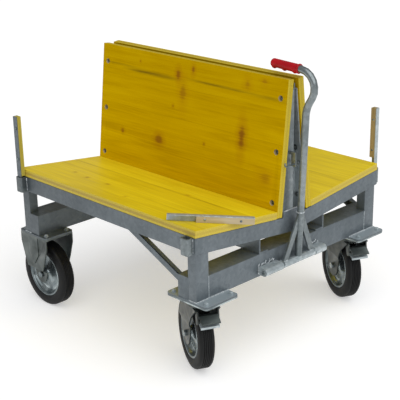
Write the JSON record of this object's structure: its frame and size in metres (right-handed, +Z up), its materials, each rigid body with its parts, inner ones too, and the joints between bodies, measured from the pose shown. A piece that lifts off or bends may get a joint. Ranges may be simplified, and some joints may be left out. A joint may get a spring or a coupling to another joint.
{
  "type": "sheet goods cart",
  "caption": "Galvanised cart for sheet goods: two tilted yellow board bays back to back, stake pockets with stanchions, a hinged drawbar, and fixed and braked swivel casters.",
  "frame": {"origin": "middle of the bounding box's footprint, on the floor under the tyres", "axes": "+X towards the drawbar end, +Z up, -Y the near side where the loose stanchion lies"},
  "size_m": [1.177, 1.0628, 1.0728],
  "materials": {
    "galvanised_steel": "hot-dip galvanised, dull spangle",
    "zinc_plated_steel": "pressed sheet, bright zinc plate",
    "yellow_board": "yellow-glazed three-ply formwork board",
    "pale_wood": "bare planed softwood",
    "black_tyre": "solid black rubber with ribbed tread",
    "red_grip": "moulded red grip with finger nubs"
  },
  "bodies": {
    "chassis": {"near_long_rail": "galvanised_steel", "far_long_rail": "galvanised_steel", "front_end_rail": "galvanised_steel", "rear_end_rail": "galvanised_steel", "front_near_leg": "galvanised_steel", "front_far_leg": "galvanised_steel", "rear_near_leg": "galvanised_steel", "rear_far_leg": "galvanised_steel", "front_cross_beam": "galvanised_steel", "rear_cross_beam": "galvanised_steel", "near_tie_angle": "galvanised_steel", "far_tie_angle": "galvanised_steel", "near_brace": "galvanised_steel", "far_brace": "galvanised_steel", "front_near_pocket": "galvanised_steel", "front_far_pocket": "galvanised_steel", "rear_near_pocket": "galvanised_steel", "rear_far_pocket": "galvanised_steel", "front_near_upright": "galvanised_steel", "front_far_upright": "galvanised_steel", "rear_near_upright": "galvanised_steel", "rear_far_upright": "galvanised_steel", "ridge_bar": "galvanised_steel", "hinge_bracket": "galvanised_steel", "hinge_pin": "galvanised_steel", "near_deck_board": "yellow_board", "near_back_board": "yellow_board", "far_deck_board": "yellow_board", "far_back_board": "yellow_board", "rear_near_fork": "zinc_plated_steel", "rear_near_axle": "zinc_plated_steel", "rear_far_fork": "zinc_plated_steel", "rear_far_axle": "zinc_plated_steel", "front_near_swivel_plate": "zinc_plated_steel", "front_far_swivel_plate": "zinc_plated_steel"},
    "drawbar": {"drawbar": "galvanised_steel", "drawbar_grip": "red_grip"},
    "catch": {"catch_pin": "galvanised_steel"},
    "front_near_stanchion": {"front_near_stanchion_tube": "galvanised_steel", "front_near_stanchion_facing": "pale_wood"},
    "front_far_stanchion": {"front_far_stanchion_tube": "galvanised_steel", "front_far_stanchion_facing": "pale_wood"},
    "rear_near_stanchion": {"rear_near_stanchion_tube": "galvanised_steel", "rear_near_stanchion_facing": "pale_wood"},
    "rear_far_stanchion": {"rear_far_stanchion_tube": "galvanised_steel", "rear_far_stanchion_facing": "pale_wood"},
    "rear_near_wheel": {"rear_near_rim": "zinc_plated_steel", "rear_near_tyre": "black_tyre"},
    "rear_far_wheel": {"rear_far_rim": "zinc_plated_steel", "rear_far_tyre": "black_tyre"},
    "front_near_swivel": {"front_near_fork": "zinc_plated_steel", "front_near_axle": "zinc_plated_steel"},
    "front_near_wheel": {"front_near_rim": "zinc_plated_steel", "front_near_tyre": "black_tyre"},
    "front_near_pedal": {"front_near_brake_pedal": "zinc_plated_steel"},
    "front_far_swivel": {"front_far_fork": "zinc_plated_steel", "front_far_axle": "zinc_plated_steel"},
    "front_far_wheel": {"front_far_rim": "zinc_plated_steel", "front_far_tyre": "black_tyre"},
    "front_far_pedal": {"front_far_brake_pedal": "zinc_plated_steel"}
  },
  "joints": [
    {"name": "drawbar_swing", "type": "hinge", "parent": "chassis", "child": "drawbar", "pos_m": [0.51519, -0.00512, 0.34491], "axis": [0, 1, 0], "range_deg": [0, 105]},
    {"name": "catch_slide", "type": "slide", "parent": "chassis", "child": "catch", "axis": [0, 1, 0], "range_m": [0, 0.03]},
    {"name": "front_near_stanchion_lift", "type": "slide", "parent": "chassis", "child": "front_near_stanchion", "axis": [0, 0, 1], "range_m": [0, 0.3]},
    {"name": "front_far_stanchion_lift", "type": "slide", "parent": "chassis", "child": "front_far_stanchion", "axis": [0, 0, 1], "range_m": [0, 0.12]},
    {"name": "rear_near_stanchion_lift", "type": "slide", "parent": "chassis", "child": "rear_near_stanchion", "axis": [0, 0, 1], "range_m": [0, 0.12]},
    {"name": "rear_far_stanchion_lift", "type": "slide", "parent": "chassis", "child": "rear_far_stanchion", "axis": [0, 0, 1], "range_m": [0, 0.12]},
    {"name": "rear_near_wheel_roll", "type": "hinge", "parent": "chassis", "child": "rear_near_wheel", "pos_m": [-0.45151, -0.43312, 0.13561], "axis": [0, 1, 0], "continuous": true},
    {"name": "rear_far_wheel_roll", "type": "hinge", "parent": "chassis", "child": "rear_far_wheel", "pos_m": [-0.45151, 0.42288, 0.13561], "axis": [0, 1, 0], "continuous": true},
    {"name": "front_near_swivel_turn", "type": "hinge", "parent": "chassis", "child": "front_near_swivel", "pos_m": [0.43849, -0.42312, 0.29861], "axis": [0, 0, 1], "continuous": true},
    {"name": "front_near_wheel_roll", "type": "hinge", "parent": "front_near_swivel", "child": "front_near_wheel", "pos_m": [0.36659, -0.38805, 0.13561], "axis": [0.4384, 0.8988, 0], "continuous": true},
    {"name": "front_near_pedal_rock", "type": "hinge", "parent": "front_near_swivel", "child": "front_near_pedal", "pos_m": [0.48703, -0.44679, 0.23961], "axis": [0.4384, 0.8988, 0], "range_deg": [0, 20]},
    {"name": "front_far_swivel_turn", "type": "hinge", "parent": "chassis", "child": "front_far_swivel", "pos_m": [0.43849, 0.41288, 0.29861], "axis": [0, 0, 1], "continuous": true},
    {"name": "front_far_wheel_roll", "type": "hinge", "parent": "front_far_swivel", "child": "front_far_wheel", "pos_m": [0.36659, 0.44795, 0.13561], "axis": [0.4384, 0.8988, 0], "continuous": true},
    {"name": "front_far_pedal_rock", "type": "hinge", "parent": "front_far_swivel", "child": "front_far_pedal", "pos_m": [0.48703, 0.38921, 0.23961], "axis": [0.4384, 0.8988, 0], "range_deg": [0, 20]}
  ]
}
